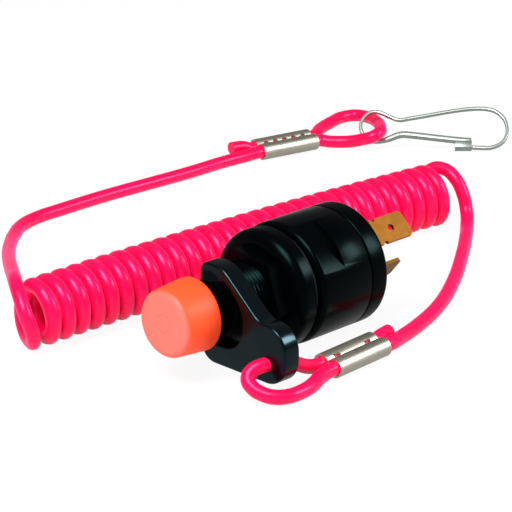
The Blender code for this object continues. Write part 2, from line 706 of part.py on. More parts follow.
def make_clip(switch, plastic):
    """The fork that holds the button out, with a lug and hole for the cord."""
    pull = bpy.data.objects.new("clip_slide", None)
    bpy.context.scene.collection.objects.link(pull)
    pull.parent = switch
    prong = SLOT_HALF_WIDTH + PRONG_WIDTH
    corners = [
        (-PRONG_REACH, SLOT_HALF_WIDTH, SLOT_MOUTH_ROUND),
        (-PRONG_REACH, prong, PRONG_ROUND),
        (SHOULDER_ACROSS, prong, CLIP_SHOULDER_ROUND),
        (LUG_REACH - LUG_NECK, LUG_TOP, LUG_NECK_ROUND),
        (LUG_REACH, LUG_TOP, LUG_ROUND),
        (LUG_REACH, -LUG_BOTTOM, LUG_ROUND),
        (-PRONG_REACH, -LUG_BOTTOM, CLIP_CORNER_ROUND),
        (-PRONG_REACH, -SLOT_HALF_WIDTH, SLOT_MOUTH_ROUND),
        (SLOT_END, -SLOT_HALF_WIDTH, SLOT_LOW_CORNER),
        (SLOT_END, SLOT_HALF_WIDTH, SLOT_HIGH_CORNER),
    ]
    outline = rounded_outline(corners)
    bm = bmesh.new()
    verts = [bm.verts.new((-CLIP_BACK, -across, up)) for across, up in outline]
    face = bm.faces.new(verts)
    raised = bmesh.ops.extrude_face_region(bm, geom=[face])["geom"]
    bmesh.ops.translate(bm, verts=[v for v in raised if isinstance(v, bmesh.types.BMVert)],
                        vec=(-CLIP_THICKNESS, 0, 0))
    clip = add_object("lanyard_clip", finish_mesh("lanyard_clip", bm, math.radians(60)), plastic, pull)
    hole = Matrix.Translation((0, -LUG_HOLE_ACROSS, -LUG_HOLE_DROP))
    boolean(clip, drum("cord_hole", LUG_HOLE_RADIUS, -CLIP_FRONT - FIT_GAP, -CLIP_BACK + FIT_GAP, hole, 20))
    rounding = clip.modifiers.new("Bevel", "BEVEL")
    rounding.limit_method = "ANGLE"
    rounding.angle_limit = math.radians(60)
    rounding.width = CLIP_EDGE_ROUND
    rounding.segments = 3
    rounding.use_clamp_overlap = True
    rounding.harden_normals = False


def ferrule_frame(place, heading, roll):
    """A frame at the middle of a ferrule: X along its barrels, Y from the near to the far one."""
    outer = CORD_RADIUS + FIT_GAP + FERRULE_WALL
    half = barrel_spacing() / 2
    lift = outer + half * math.sin(roll)
    return (Matrix.Translation((*place, lift)) @ Matrix.Rotation(heading, 4, "Z")
            @ Matrix.Rotation(roll, 4, "X"))


def barrel_spacing():
    """The distance between the two cords in a ferrule, which lie side by side."""
    return 2 * CORD_RADIUS + FIT_GAP


def make_ferrule(name, place, heading, roll, scallops, metal):
    """A double-barrel sleeve whose two edges meet in the valley on top."""
    frame = ferrule_frame(place, heading, roll)
    outer = CORD_RADIUS + FIT_GAP + FERRULE_WALL
    half = FERRULE_LENGTH / 2
    side = barrel_spacing() / 2
    near = frame @ Matrix.Translation((0, -side, 0))
    far = frame @ Matrix.Translation((0, side, 0))
    ferrule = add_object(name, drum(name, outer, -half, half, near), metal)
    boolean(ferrule, drum(name + "_far", outer, -half, half, far), "UNION")
    for barrel in (near, far):
        boolean(ferrule, drum(name + "_bore", CORD_RADIUS + FIT_GAP, -half - outer, half + outer, barrel))
    if scallops:
        for index in range(SCALLOP_COUNT):
            along = (index - (SCALLOP_COUNT - 1) / 2) * FERRULE_LENGTH / (SCALLOP_COUNT + 1)
            spot = frame @ Matrix.Translation((along, 0, 0)) @ Matrix.Rotation(math.pi / 2, 4, "Y")
            boolean(ferrule, drum(name + "_scallop", SCALLOP_RADIUS, -outer, 0.0, spot, 10))
    else:
        for along in (-FERRULE_LENGTH / 2 + SLOT_NOTCH_INSET, FERRULE_LENGTH / 2 - SLOT_NOTCH_INSET):
            low = (along - SLOT_NOTCH_LENGTH / 2, -SCALLOP_RADIUS, 0.0)
            high = (along + SLOT_NOTCH_LENGTH / 2, SCALLOP_RADIUS, outer)
            boolean(ferrule, block(name + "_notch", low, high, frame))


def barrel_points(place, heading, roll, side, forward):
    """Where a cord enters and leaves a barrel, in the cord's own direction."""
    frame = ferrule_frame(place, heading, roll)
    half = FERRULE_LENGTH / 2
    ends = [-half - CORD_RADIUS, -half, 0.0, half, half + CORD_RADIUS]
    if not forward:
        ends.reverse()
    return [tuple(frame @ Vector((x, side * barrel_spacing() / 2, 0))) for x in ends]


def make_cords(red):
    """The two leads of the lanyard and the outer shape of its coil."""
    clip_ferrule = (CLIP_FERRULE_PLACE, CLIP_FERRULE_HEADING, CLIP_FERRULE_ROLL)
    hook_ferrule = (HOOK_FERRULE_PLACE, HOOK_FERRULE_HEADING, HOOK_FERRULE_ROLL)
    clip_route = (CLIP_CORD_TAIL + barrel_points(*clip_ferrule, 1, False) + CLIP_CORD_LOOP
                  + barrel_points(*clip_ferrule, -1, True) + CLIP_CORD_LEAD)
    hook_route = (HOOK_CORD_LEAD + barrel_points(*hook_ferrule, -1, True) + HOOK_CORD_LOOP
                  + barrel_points(*hook_ferrule, 1, False) + HOOK_CORD_TAIL)
    tube("cord_clip_lead", thin_out(smooth_curve(clip_route)), CORD_RADIUS, red)
    tube("cord_hook_lead", thin_out(smooth_curve(hook_route)), CORD_RADIUS, red)

    left = Vector((*COIL_END_LEFT, COIL_RADIUS))
    right = Vector((*COIL_END_RIGHT, COIL_RADIUS))
    away = Vector((left.y - right.y, right.x - left.x, 0)).normalized()
    shares = [step / COIL_STEPS for step in range(COIL_STEPS + 1)]
    axis = [left.lerp(right, share) + away * COIL_BOW * 4 * share * (1 - share) for share in shares]
    tube("cord_coil", axis, COIL_RADIUS, red, resolution=COIL_RESOLUTION)


def make_snap_hook(metal):
    """The hook's wire, bent in one plane, with the end of its gate folded over the wire's tip."""
    kept = thin_out(smooth_curve([(x, y, 0.0) for x, y, _ in HOOK_WIRE]), 0.006, math.radians(20))
    gate = [Vector((x, y, 0.0)) for x, y, thick in HOOK_WIRE if thick]
    radii = []
    for point in kept:
        near_gate = min((point - other).length for other in gate) < 0.0035
        on_gate = near_gate and point.y > -0.0055
        radii.append(HOOK_GATE_RADIUS if on_gate else HOOK_WIRE_RADIUS)
    wire = tube("hook_wire", kept, HOOK_WIRE_RADIUS, None, radii=radii)
    bpy.context.view_layer.update()
    mesh = bpy.data.meshes.new_from_object(wire.evaluated_get(bpy.context.evaluated_depsgraph_get()))
    bpy.data.objects.remove(wire, do_unlink=True)
    mesh.name = "snap_hook"
    hook = add_object("snap_hook", mesh, metal)

    end, tip = HOOK_WIRE[0], HOOK_WIRE[-1]
    half = HOOK_CATCH_WIDTH / 2
    roof = end[1] - HOOK_GATE_RADIUS
    low_end = end[0] - HOOK_CATCH_LENGTH
    slot = HOOK_WIRE_RADIUS + FIT_GAP
    boolean(hook, block("catch", (low_end, tip[1] - FIT_GAP, -half),
                        (end[0] + FIT_GAP, end[1], half)), "UNION")
    boolean(hook, block("catch_slot", (low_end - slot, tip[1] - slot * 2, -slot),
                        (end[0] + 2 * slot, roof, slot)))

    along = Vector((math.cos(HOOK_HEADING), math.sin(HOOK_HEADING), 0))
    back = Vector((-along.y, along.x, 0))
    up = Vector((0, 0, math.cos(HOOK_LEAN))) + back * math.sin(HOOK_LEAN)
    frame = Matrix((along, up, along.cross(up))).transposed().to_4x4()
    wire_low = min(y for _, y, _ in HOOK_WIRE) * up.z - HOOK_WIRE_RADIUS
    catch_low = (tip[1] - FIT_GAP) * up.z - half * math.sin(HOOK_LEAN)
    frame.translation = Vector((*HOOK_EYE_PLACE, -min(wire_low, catch_low)))
    hook.matrix_world = frame
    for step in hook.modifiers:
        step.object.matrix_world = frame


def main():
    clear_scene()
    gloss_black = make_material("gloss_black_plastic", BLACK, 0.22)
    satin_black = make_material("satin_black_plastic", BLACK, 0.45)
    rubber = make_material("black_rubber", BLACK, 0.8)
    orange = make_material("orange_plastic", ORANGE, 0.4)
    red = make_material("red_cord", RED, 0.35)
    brass = make_material("brass", BRASS, 0.35, 1.0)
    nickel = make_material("nickel_plate", NICKEL, 0.3, 1.0)
    steel = make_material("spring_steel", STEEL, 0.3, 1.0)
    phenolic = make_material("phenolic_board", PHENOLIC, 0.6)

    switch = bpy.data.objects.new("switch_axis", None)
    bpy.context.scene.collection.objects.link(switch)
    switch.location = (REAR_X, AXIS_Y, AXIS_Z)

    make_housing(switch, satin_black)
    make_rear_cap(switch, satin_black)
    make_panel_nut(switch, satin_black, rubber)
    make_contacts(switch, brass, phenolic, steel)
    make_plunger(switch, orange, satin_black, rubber, steel, brass)
    make_clip(switch, gloss_black)
    make_ferrule("ferrule_clip_end", CLIP_FERRULE_PLACE, CLIP_FERRULE_HEADING, CLIP_FERRULE_ROLL,
                 False, nickel)
    make_ferrule("ferrule_hook_end", HOOK_FERRULE_PLACE, HOOK_FERRULE_HEADING, HOOK_FERRULE_ROLL,
                 True, nickel)
    make_cords(red)
    make_snap_hook(steel)


main()
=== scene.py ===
# %% [markdown]
# # An engine kill switch on its coiled lanyard
# This notebook dresses a small switch for a motorbike. The rider clips the hook to a sleeve. If the
# rider falls, the cord pulls the black clip off the switch and the engine stops. The CAD model is
# loaded as a fixed frame, and each piece drawn here is put where its CAD solid lies.

import math

import bpy
from mathutils import Matrix, Vector


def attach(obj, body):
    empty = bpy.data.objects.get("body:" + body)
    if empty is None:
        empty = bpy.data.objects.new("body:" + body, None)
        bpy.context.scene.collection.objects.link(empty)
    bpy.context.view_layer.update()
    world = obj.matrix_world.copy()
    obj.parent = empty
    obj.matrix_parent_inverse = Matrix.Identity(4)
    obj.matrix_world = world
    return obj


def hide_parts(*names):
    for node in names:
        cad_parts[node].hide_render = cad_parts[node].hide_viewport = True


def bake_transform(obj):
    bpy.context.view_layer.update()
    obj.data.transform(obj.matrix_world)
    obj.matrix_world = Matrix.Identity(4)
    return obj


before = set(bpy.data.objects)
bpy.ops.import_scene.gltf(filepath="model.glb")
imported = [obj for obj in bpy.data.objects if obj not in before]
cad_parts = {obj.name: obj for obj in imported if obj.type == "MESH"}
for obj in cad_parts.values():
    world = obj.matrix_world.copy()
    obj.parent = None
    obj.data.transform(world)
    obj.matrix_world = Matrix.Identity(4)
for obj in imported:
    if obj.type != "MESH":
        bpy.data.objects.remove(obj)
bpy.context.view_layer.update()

# %% [markdown]
# Every length below is in millimetres, as on a maker's drawing, and is turned to metres where Blender
# gets it. The switch lies along X. A station is a distance ahead of its rear rim, across is measured
# towards the clip's lug, and rise is measured up from the switch's axis.

# %% Units and the switch's axis
MM = 0.001
REAR_X, AXIS_Y, AXIS_Z = 19.7, 5.225, 13.65


def on_switch(station, across=0.0, rise=0.0):
    """A point given from the switch's rear rim and axis, in metres."""
    return Vector((REAR_X - station, AXIS_Y - across, AXIS_Z + rise)) * MM


def on_table(x, y, z):
    """A point in the row frame given in millimetres, in metres."""
    return Vector((x, y, z)) * MM


# %% [markdown]
# ## Camera
# The camera is fitted to the photograph. At the chosen scale it stands about two thirds of a metre
# away, 20 degrees above the surface and on the button's side. Its long lens keeps the far hook nearly
# as large as the near clip.

# %% Camera
SENSOR = 36.0
LENS = 198.3
EYE = on_table(-401.1, -393.3, 229.8)
TARGET = on_table(34.8, 47.0, 0.0)

camera = bpy.data.objects.new("camera", bpy.data.cameras.new("camera"))
bpy.context.scene.collection.objects.link(camera)
camera.location = EYE
camera.rotation_euler = (TARGET - EYE).to_track_quat("-Z", "Y").to_euler()
camera.data.sensor_width = SENSOR
camera.data.lens = LENS
camera.data.clip_start = 0.01
bpy.context.scene.camera = camera
print("camera distance:", round((TARGET - EYE).length, 3), "m")

# %% [markdown]
# ## The cord's route
# The lanyard is one length of soft PVC cord. It is drawn as two pieces that meet inside the coil,
# because the clip's end has to follow the clip when it is pulled off. Each is a smooth Bezier curve
# through a few points, and the coil has twelve points to a turn. The points of the routes were measured
# in the photograph, some one by one and some from the cord's edges, and then adjusted.

# The coil's two ends lie on the surface and its middle bows back a little. Its turns stand closer
# together towards the right, and lean back where they face the camera.

# %% The cord's sizes and the coil's helix
CORD_RADIUS = 1.6
COIL_MEAN_RADIUS = 5.85
COIL_SWELL = 1.09
COIL_LEFT = Vector((-34.6, 40.9, 7.6))
COIL_RIGHT = Vector((80.4, 32.8, 7.6))
COIL_BOW = 1.7
COIL_LEAN = 1.0
FIRST_PITCH = 4.17
PITCH_LOSS = 0.0059
FIRST_TURN, JOIN_TURN, LAST_TURN = 0.95, 29.5, 30.75
ZERO_TURN, ZERO_ALONG = 1.5, -0.8
POINTS_PER_TURN = 12

coil_length = (COIL_RIGHT - COIL_LEFT).length
coil_axis = (COIL_RIGHT - COIL_LEFT).normalized()
coil_front = Vector((coil_axis.y, -coil_axis.x, 0.0))


def coil_point(turn):
    """A point of the helix. Whole turns are at the top, and it goes over towards the front."""
    angle = math.tau * turn
    count = turn - ZERO_TURN
    along = count * (FIRST_PITCH - PITCH_LOSS * count) + ZERO_ALONG
    share = along / coil_length
    middle = COIL_LEFT + coil_axis * along - coil_front * COIL_BOW * 4 * share * (1 - share)
    around = coil_front * math.sin(angle) + Vector((0, 0, math.cos(angle)))
    return middle + around * COIL_MEAN_RADIUS - coil_axis * COIL_LEAN * math.sin(angle)


print("coil from", coil_point(FIRST_TURN), "to", coil_point(LAST_TURN))

# %% The points of the two cords
clip_tail = [(17.6, -11.1, 2.4), (14.4, -11.8, 2.5)]
clip_loop = [
    (-10.3, -13.8, 3.2), (-13.6, -14.2, 4.8), (-16.8, -14.2, 6.4), (-19.9, -14.0, 6.85),
    (-22.6, -13.1, 6.8), (-25.0, -12.1, 5.9), (-26.3, -12.4, 4.5), (-26.5, -13.9, 3.2),
    (-25.7, -16.0, 2.2), (-24.3, -18.0, 1.7), (-21.9, -19.5, 1.6), (-18.5, -19.8, 1.6),
    (-14.5, -19.2, 1.7), (-10.4, -17.7, 2.0),
]
clip_lead = [
    (19.0, -13.9, 1.7), (26.9, -11.6, 1.6), (37.3, -7.6, 1.6), (50.0, -0.6, 1.6), (66.4, 10.7, 1.6),
    (75.6, 17.7, 1.6), (81.4, 22.4, 2.0), (84.3, 25.1, 4.2), (85.0, 27.0, 8.0), (85.0, 29.6, 11.4),
    (84.8, 33.3, 13.0), (83.7, 36.4, 12.3),
]
first_turn = [
    (-36.5, 44.8, 11.2), (-36.5, 47.0, 8.4), (-36.8, 47.0, 5.2), (-37.8, 45.0, 2.6), (-39.5, 41.2, 1.6),
    (-41.4, 37.6, 2.8), (-43.0, 36.3, 6.2), (-43.8, 37.1, 9.6), (-43.2, 39.2, 12.1), (-41.8, 42.1, 13.9),
    (-38.9, 46.4, 14.0),
]
hook_lead = [
    (-35.6, 50.7, 12.7), (-28.8, 59.8, 10.4), (-22.1, 68.5, 8.1), (-15.2, 77.0, 5.8), (-7.5, 85.8, 3.6),
    (-0.2, 93.1, 2.2), (6.4, 98.1, 1.7), (12.5, 100.1, 1.6), (21.3, 100.5, 1.6), (37.0, 100.5, 1.6),
    (50.0, 99.7, 1.6), (62.9, 99.0, 1.6), (75.0, 98.7, 1.7), (81.0, 97.7, 1.9),
]
hook_loop = [
    (105.0, 90.8, 2.0), (106.9, 88.5, 2.0), (108.5, 85.9, 2.4), (109.7, 83.4, 3.2), (110.3, 80.9, 4.2),
    (112.1, 80.2, 4.9), (116.8, 83.6, 4.7), (121.7, 89.5, 4.0), (124.0, 95.0, 3.5), (123.9, 99.1, 3.1),
    (120.4, 100.8, 3.0), (115.4, 100.0, 2.9), (109.8, 98.7, 2.6),
]
hook_tail = [(83.9, 100.9, 3.0), (79.9, 101.7, 3.4)]

FERRULE_LENGTH = 16.5
FERRULE_WALL = 0.3
FERRULE_GAP = 0.3
FERRULE_SPACING = 2 * CORD_RADIUS + FERRULE_GAP
CLIP_FERRULE = ((2.6, -14.7), math.radians(3.6), math.radians(4))
HOOK_FERRULE = ((94.3, 96.5), math.radians(-12.5), math.radians(4))


def ferrule_frame(middle, heading, roll):
    """A frame at a ferrule's middle: X along its barrels, Y from the near to the far one."""
    height = CORD_RADIUS + FERRULE_GAP + FERRULE_WALL + FERRULE_SPACING / 2 * math.sin(roll)
    return (Matrix.Translation(Vector((*middle, height))) @ Matrix.Rotation(heading, 4, "Z")
            @ Matrix.Rotation(roll, 4, "X"))


def barrel_line(ferrule, side, forward):
    """Points on the axis of one barrel of a ferrule, in the cord's own direction."""
    half = FERRULE_LENGTH / 2
    ends = [-half - CORD_RADIUS, -half, 0.0, half, half + CORD_RADIUS]
    if not forward:
        ends.reverse()
    return [ferrule_frame(*ferrule) @ Vector((along, side * FERRULE_SPACING / 2, 0)) for along in ends]


def helix(start, end):
    """Points of the coil from one turn to another."""
    count = abs(round((end - start) * POINTS_PER_TURN))
    return [coil_point(start + (end - start) * step / count) for step in range(count + 1)]


def route(points):
    """A listed route as vectors."""
    return [Vector(point) for point in points]


clip_points = (route(clip_tail) + barrel_line(CLIP_FERRULE, 1, False) + route(clip_loop)
               + barrel_line(CLIP_FERRULE, -1, True) + route(clip_lead) + helix(LAST_TURN, JOIN_TURN))
coil_points = (helix(JOIN_TURN, FIRST_TURN) + route(first_turn) + route(hook_lead)
               + barrel_line(HOOK_FERRULE, -1, True) + route(hook_loop)
               + barrel_line(HOOK_FERRULE, 1, False) + route(hook_tail))
print("cord points:", len(clip_points), "and", len(coil_points))


# %% Draw the cords
def cord_curve(name, points, resolution, coiled):
    """A round cord along a smooth curve through points in millimetres, a little thicker where coiled."""
    curve = bpy.data.curves.new(name, "CURVE")
    curve.dimensions = "3D"
    curve.resolution_u = resolution
    curve.bevel_depth = CORD_RADIUS * MM
    curve.bevel_resolution = 5
    curve.use_fill_caps = True
    spline = curve.splines.new("BEZIER")
    spline.bezier_points.add(len(points) - 1)
    for knot, point in zip(spline.bezier_points, points):
        knot.co = Vector(point) * MM
        knot.handle_left_type = "AUTO"
        knot.handle_right_type = "AUTO"
    for knot in spline.bezier_points[coiled]:
        knot.radius = COIL_SWELL
    item = bpy.data.objects.new(name, curve)
    bpy.context.scene.collection.objects.link(item)
    return item


def centreline(item):
    """The points along a curve's own line, and its length, in metres."""
    plain = item.copy()
    plain.data = item.data.copy()
    plain.data.bevel_depth = 0.0
    line = [vertex.co.copy() for vertex in plain.to_mesh().vertices]
    bpy.data.objects.remove(plain, do_unlink=True)
    return line, sum((b - a).length for a, b in zip(line, line[1:]))


clip_coiled = slice(-len(helix(LAST_TURN, JOIN_TURN)), None)
coil_coiled = slice(0, len(helix(JOIN_TURN, FIRST_TURN)))
cord_clip = cord_curve("cord_clip_side", clip_points, 6, clip_coiled)
cord_coil = cord_curve("cord_coiled", coil_points, 5, coil_coiled)
clip_line, clip_cord_length = centreline(cord_clip)
_, coil_cord_length = centreline(cord_coil)
print("cord lengths:", round(clip_cord_length, 3), "m and", round(coil_cord_length, 3), "m")

# %% [markdown]
# ## Colour and shader helpers
# Colours are picked as sRGB hex values, as in a paint program, and one function turns them to the
# linear values that the shader needs. Another adds a shader node with its settings and its links.


# %% Helpers for materials
def linear(hex_colour):
    """An sRGB hex colour as linear RGBA."""
    parts = [int(hex_colour[i:i + 2], 16) / 255 for i in (0, 2, 4)]
    return tuple(c / 12.92 if c <= 0.04045 else ((c + 0.055) / 1.055) ** 2.4 for c in parts) + (1.0,)


def new_material(name, colour, roughness, metallic=0.0):
    """A Principled material, returned with its node tree and shader."""
    material = bpy.data.materials.new(name)
    material.use_nodes = True
    tree = material.node_tree
    shader = tree.nodes["Principled BSDF"]
    shader.inputs["Base Color"].default_value = linear(colour)
    shader.inputs["Roughness"].default_value = roughness
    shader.inputs["Metallic"].default_value = metallic
    return material, tree, shader


def add_node(tree, kind, settings=None, links=None):
    """A node with values for its sockets and properties, and links into its sockets."""
    node = tree.nodes.new(kind)
    for key, value in (settings or {}).items():
        if isinstance(key, str) and hasattr(node, key):
            setattr(node, key, value)
        else:
            node.inputs[key].default_value = value
    for key, source in (links or {}).items():
        tree.links.new(source, node.inputs[key])
    return node


def paint(item, material):
    """Give a piece one material, in its only slot."""
    item.data.materials.clear()
    item.data.materials.append(material)


# %% [markdown]
# ## Materials
# Each is named for what the real piece seems to be made of. The grain of moulded plastic is finer than a pixel
# here, so it is drawn a little coarser than life to show at all.


# %% Plasticised PVC, extruded: the red cord
def moulded(name, colour, second, roughness, grain_mm, grain_depth_mm, specular=0.5):
    """A plastic with a slow change of colour and a fine grain in its surface."""
    material, tree, shader = new_material(name, colour, roughness)
    shader.inputs["Specular IOR Level"].default_value = specular
    place = add_node(tree, "ShaderNodeTexCoord")
    cloud = add_node(tree, "ShaderNodeTexNoise", {"Scale": 1 / (6 * MM), "Detail": 3.0},
                     {"Vector": place.outputs["Object"]})
    mix = add_node(tree, "ShaderNodeMix", {"data_type": "RGBA"}, {"Factor": cloud.outputs["Fac"]})
    mix.inputs[6].default_value = linear(colour)
    mix.inputs[7].default_value = linear(second)
    tree.links.new(mix.outputs[2], shader.inputs["Base Color"])
    grain = add_node(tree, "ShaderNodeTexNoise", {"Scale": 1 / (grain_mm * MM), "Detail": 4.0},
                     {"Vector": place.outputs["Object"]})
    bump = add_node(tree, "ShaderNodeBump", {"Strength": 1.0, "Distance": grain_depth_mm * MM},
                    {"Height": grain.outputs["Fac"]})
    tree.links.new(bump.outputs["Normal"], shader.inputs["Normal"])
    return material, tree, shader


pvc, _, pvc_shader = moulded("pvc_extruded_red", "F50542", "FA0B52", 0.32, 1.2, 0.004, 0.4)
pvc_shader.inputs["Specular Tint"].default_value = linear("FFA8F8")
pvc_shader.inputs["Sheen Weight"].default_value = 0.25
pvc_shader.inputs["Sheen Roughness"].default_value = 0.35
pvc_shader.inputs["Sheen Tint"].default_value = linear("FF70FF")
pvc_shader.inputs["Subsurface Weight"].default_value = 0.15
pvc_shader.inputs["Subsurface Radius"].default_value = (1.0, 0.25, 0.25)
pvc_shader.inputs["Subsurface Scale"].default_value = 1.5 * MM

# %% Glass-filled nylon, moulded: the body and nut
nylon, _, nylon_shader = moulded("nylon_moulded_black", "010203", "020304", 0.25, 0.35, 0.010, 0.06)
nylon_shader.inputs["Specular Tint"].default_value = linear("86D8D6")

# %% Acetal from a polished mould: the clip
acetal, _, acetal_shader = moulded("acetal_polished_black", "010203", "030405", 0.20, 2.5, 0.006, 0.42)
acetal_shader.inputs["Specular Tint"].default_value = linear("98DCF0")

# %% Soft thermoplastic rubber, moulded: the orange button
soft_orange, orange_tree, orange_shader = moulded(
    "rubber_moulded_orange", "FF4416", "FF5527", 0.5, 0.5, 0.012, 0.35)
# The front face is painted paler than the side. This is a painted sheen for the light that the face reflects.
FACE_X, FACE_ROUND = -33.8, 1.2
place = add_node(orange_tree, "ShaderNodeTexCoord")
apart = add_node(orange_tree, "ShaderNodeSeparateXYZ", None, {"Vector": place.outputs["Object"]})
face = add_node(orange_tree, "ShaderNodeMapRange",
                {"From Min": (FACE_X + FACE_ROUND) * MM, "From Max": (FACE_X + FACE_ROUND / 4) * MM},
                {"Value": apart.outputs["X"]})
side_colour = orange_shader.inputs["Base Color"].links[0].from_socket
painted_face_sheen = add_node(orange_tree, "ShaderNodeMix", {"data_type": "RGBA"}, {"Factor": face.outputs["Result"]})
orange_tree.links.new(side_colour, painted_face_sheen.inputs[6])
# Painted sheen: the paler colour given to the lit front face.
painted_face_sheen.inputs[7].default_value = linear("FF6A5C")
orange_tree.links.new(painted_face_sheen.outputs[2], orange_shader.inputs["Base Color"])

# %% Nitrile rubber: washer and ring
nitrile, _, _ = moulded("nitrile_rubber_black", "0B0B0C", "121213", 0.75, 0.4, 0.01, 0.25)

# %% Phenolic board: inside
phenolic, _, _ = moulded("phenolic_board_brown", "5A3A22", "6A4628", 0.6, 0.3, 0.01)


# %% Metals
def rolled_metal(name, colour, second, roughness, scratch_mm, depth_mm):
    """Sheet or wire with fine marks from rolling and a slight tarnish."""
    material, tree, shader = new_material(name, colour, roughness, 1.0)
    place = add_node(tree, "ShaderNodeTexCoord")
    cloud = add_node(tree, "ShaderNodeTexNoise", {"Scale": 1 / (2.5 * MM), "Detail": 5.0},
                     {"Vector": place.outputs["Object"]})
    mix = add_node(tree, "ShaderNodeMix", {"data_type": "RGBA"}, {"Factor": cloud.outputs["Fac"]})
    mix.inputs[6].default_value = linear(colour)
    mix.inputs[7].default_value = linear(second)
    tree.links.new(mix.outputs[2], shader.inputs["Base Color"])
    rough = add_node(tree, "ShaderNodeMapRange", {"To Min": roughness - 0.06, "To Max": roughness + 0.10},
                     {"Value": cloud.outputs["Fac"]})
    tree.links.new(rough.outputs["Result"], shader.inputs["Roughness"])
    fine = 1 / scratch_mm
    stretch = add_node(tree, "ShaderNodeMapping", {"Scale": (fine / 12, fine, fine)},
                       {"Vector": place.outputs["Object"]})
    marks = add_node(tree, "ShaderNodeTexNoise", {"Scale": 1 / MM, "Detail": 2.0},
                     {"Vector": stretch.outputs["Vector"]})
    bump = add_node(tree, "ShaderNodeBump", {"Strength": 1.0, "Distance": depth_mm * MM},
                    {"Height": marks.outputs["Fac"]})
    tree.links.new(bump.outputs["Normal"], shader.inputs["Normal"])
    return material


brass = rolled_metal("brass_rolled", "BE7C34", "74501E", 0.42, 0.25, 0.006)
nickel = rolled_metal("nickel_plated_brass", "DED8CA", "BFBAAA", 0.42, 0.30, 0.004)
steel = rolled_metal("steel_zinc_plated", "C9D2CB", "A6B0A8", 0.38, 0.30, 0.003)
spring_steel = rolled_metal("steel_spring_wire", "B9BDBD", "9EA3A4", 0.3, 0.2, 0.002)


# %% [markdown]
# ## Making pieces
# The switch is mostly turned forms. Each starts as a circle, and its edge is extruded and scaled from
# one station to the next, as a profile is drawn on a lathe.


# %% Helpers for modelling
SIDES = 96


def deselect():
    """Leave edit mode with nothing selected."""
    if bpy.context.object and bpy.context.object.mode != "OBJECT":
        bpy.ops.object.mode_set(mode="OBJECT")
    bpy.ops.object.select_all(action="DESELECT")


def activate(item):
    """Select one piece alone."""
    deselect()
    item.select_set(True)
    bpy.context.view_layer.objects.active = item


def settle(item):
    """Put a piece's place, turn and size into its mesh."""
    activate(item)
    bpy.ops.object.transform_apply(location=True, rotation=True, scale=True)


def turn_profile(name, profile, ring=False, sides=SIDES):
    """A form turned about the switch's axis from (station, radius) pairs, solid or a ring."""
    deselect()
    station, radius = profile[0]
    bpy.ops.mesh.primitive_circle_add(vertices=sides, radius=radius * MM, location=on_switch(station),
                                      rotation=(0, math.pi / 2, 0))
    item = bpy.context.object
    item.name = name
    bpy.ops.object.transform_apply(location=True, rotation=True, scale=True)
    bpy.ops.object.mode_set(mode="EDIT")
    bpy.ops.mesh.select_all(action="SELECT")
    for (start, small), (end, large) in zip(profile, profile[1:]):
        bpy.ops.mesh.extrude_edges_move(TRANSFORM_OT_translate={"value": ((start - end) * MM, 0, 0)})
        scale = large / small
        bpy.ops.transform.resize(value=(1, scale, scale), center_override=on_switch(end))
    bpy.ops.mesh.select_all(action="DESELECT")
    bpy.ops.mesh.select_non_manifold()
    if ring:
        bpy.ops.mesh.bridge_edge_loops()
    else:
        bpy.ops.mesh.fill_holes(sides=0)
    bpy.ops.mesh.select_all(action="SELECT")
    bpy.ops.mesh.normals_make_consistent(inside=False)
    bpy.ops.object.mode_set(mode="OBJECT")
    return item


def arc(station, radius, size, start, end, steps=6):
    """Points of a round in a profile, between two angles in degrees (0 is forward, 90 is outward)."""
    points = []
    for step in range(steps + 1):
        angle = math.radians(start + (end - start) * step / steps)
        points.append((station + size * math.cos(angle), radius + size * math.sin(angle)))
    return points


def combine(item, tool, operation="DIFFERENCE"):
    """Apply a Boolean with a tool, and remove the tool."""
    step = item.modifiers.new(operation.title(), "BOOLEAN")
    step.operation = operation
    step.solver = "EXACT"
    step.object = tool
    activate(item)
    bpy.ops.object.modifier_apply(modifier=step.name)
    bpy.data.objects.remove(tool, do_unlink=True)


def soften(item, width, segments=3, angle=30):
    """Round the edges that are sharper than an angle, and smooth the rest."""
    step = item.modifiers.new("Bevel", "BEVEL")
    step.width = width * MM
    step.segments = segments
    step.limit_method = "ANGLE"
    step.angle_limit = math.radians(angle)
    step.use_clamp_overlap = True
    step.harden_normals = False
    activate(item)
    bpy.ops.object.modifier_apply(modifier=step.name)
    bpy.ops.object.shade_smooth_by_angle(angle=math.radians(28))


def on_spoke(circle, degrees, station=0.0):
    """A frame on the switch: local X along it, local Z outwards at an angle from the lug's side."""
    angle = math.radians(degrees)
    outward = Vector((0, -math.cos(angle), math.sin(angle)))
    along = Vector((1, 0, 0))
    matrix = Matrix((along, outward.cross(along), outward)).transposed().to_4x4()
    matrix.translation = on_switch(station) + outward * circle * MM
    return matrix


def block(name, low, high, place=None):
    """A box between two corners in millimetres, in a frame."""
    deselect()
    bpy.ops.mesh.primitive_cube_add(size=1)
    item = bpy.context.object
    item.name = name
    size = [(b - a) * MM for a, b in zip(low, high)]
    middle = Vector([(a + b) / 2 * MM for a, b in zip(low, high)])
    item.matrix_world = (place or Matrix()) @ Matrix.Translation(middle) @ Matrix.Diagonal((*size, 1))
    settle(item)
    return item


def rod(name, radius, low, high, place=None, sides=48):
    """A cylinder along local X between two places in millimetres, in a frame."""
    deselect()
    bpy.ops.mesh.primitive_cylinder_add(vertices=sides, radius=radius * MM, depth=(high - low) * MM)
    item = bpy.context.object
    item.name = name
    move = Matrix.Translation(((low + high) / 2 * MM, 0, 0)) @ Matrix.Rotation(math.pi / 2, 4, "Y")
    item.matrix_world = (place or Matrix()) @ move
    settle(item)
    return item


# %% [markdown]
# ## Housing
# The housing is one moulding: a fat shell, a shoulder that the panel lies against, and a threaded
# neck. Two spanner flats are cut into its sides. The thread is drawn as rings 1 mm apart.

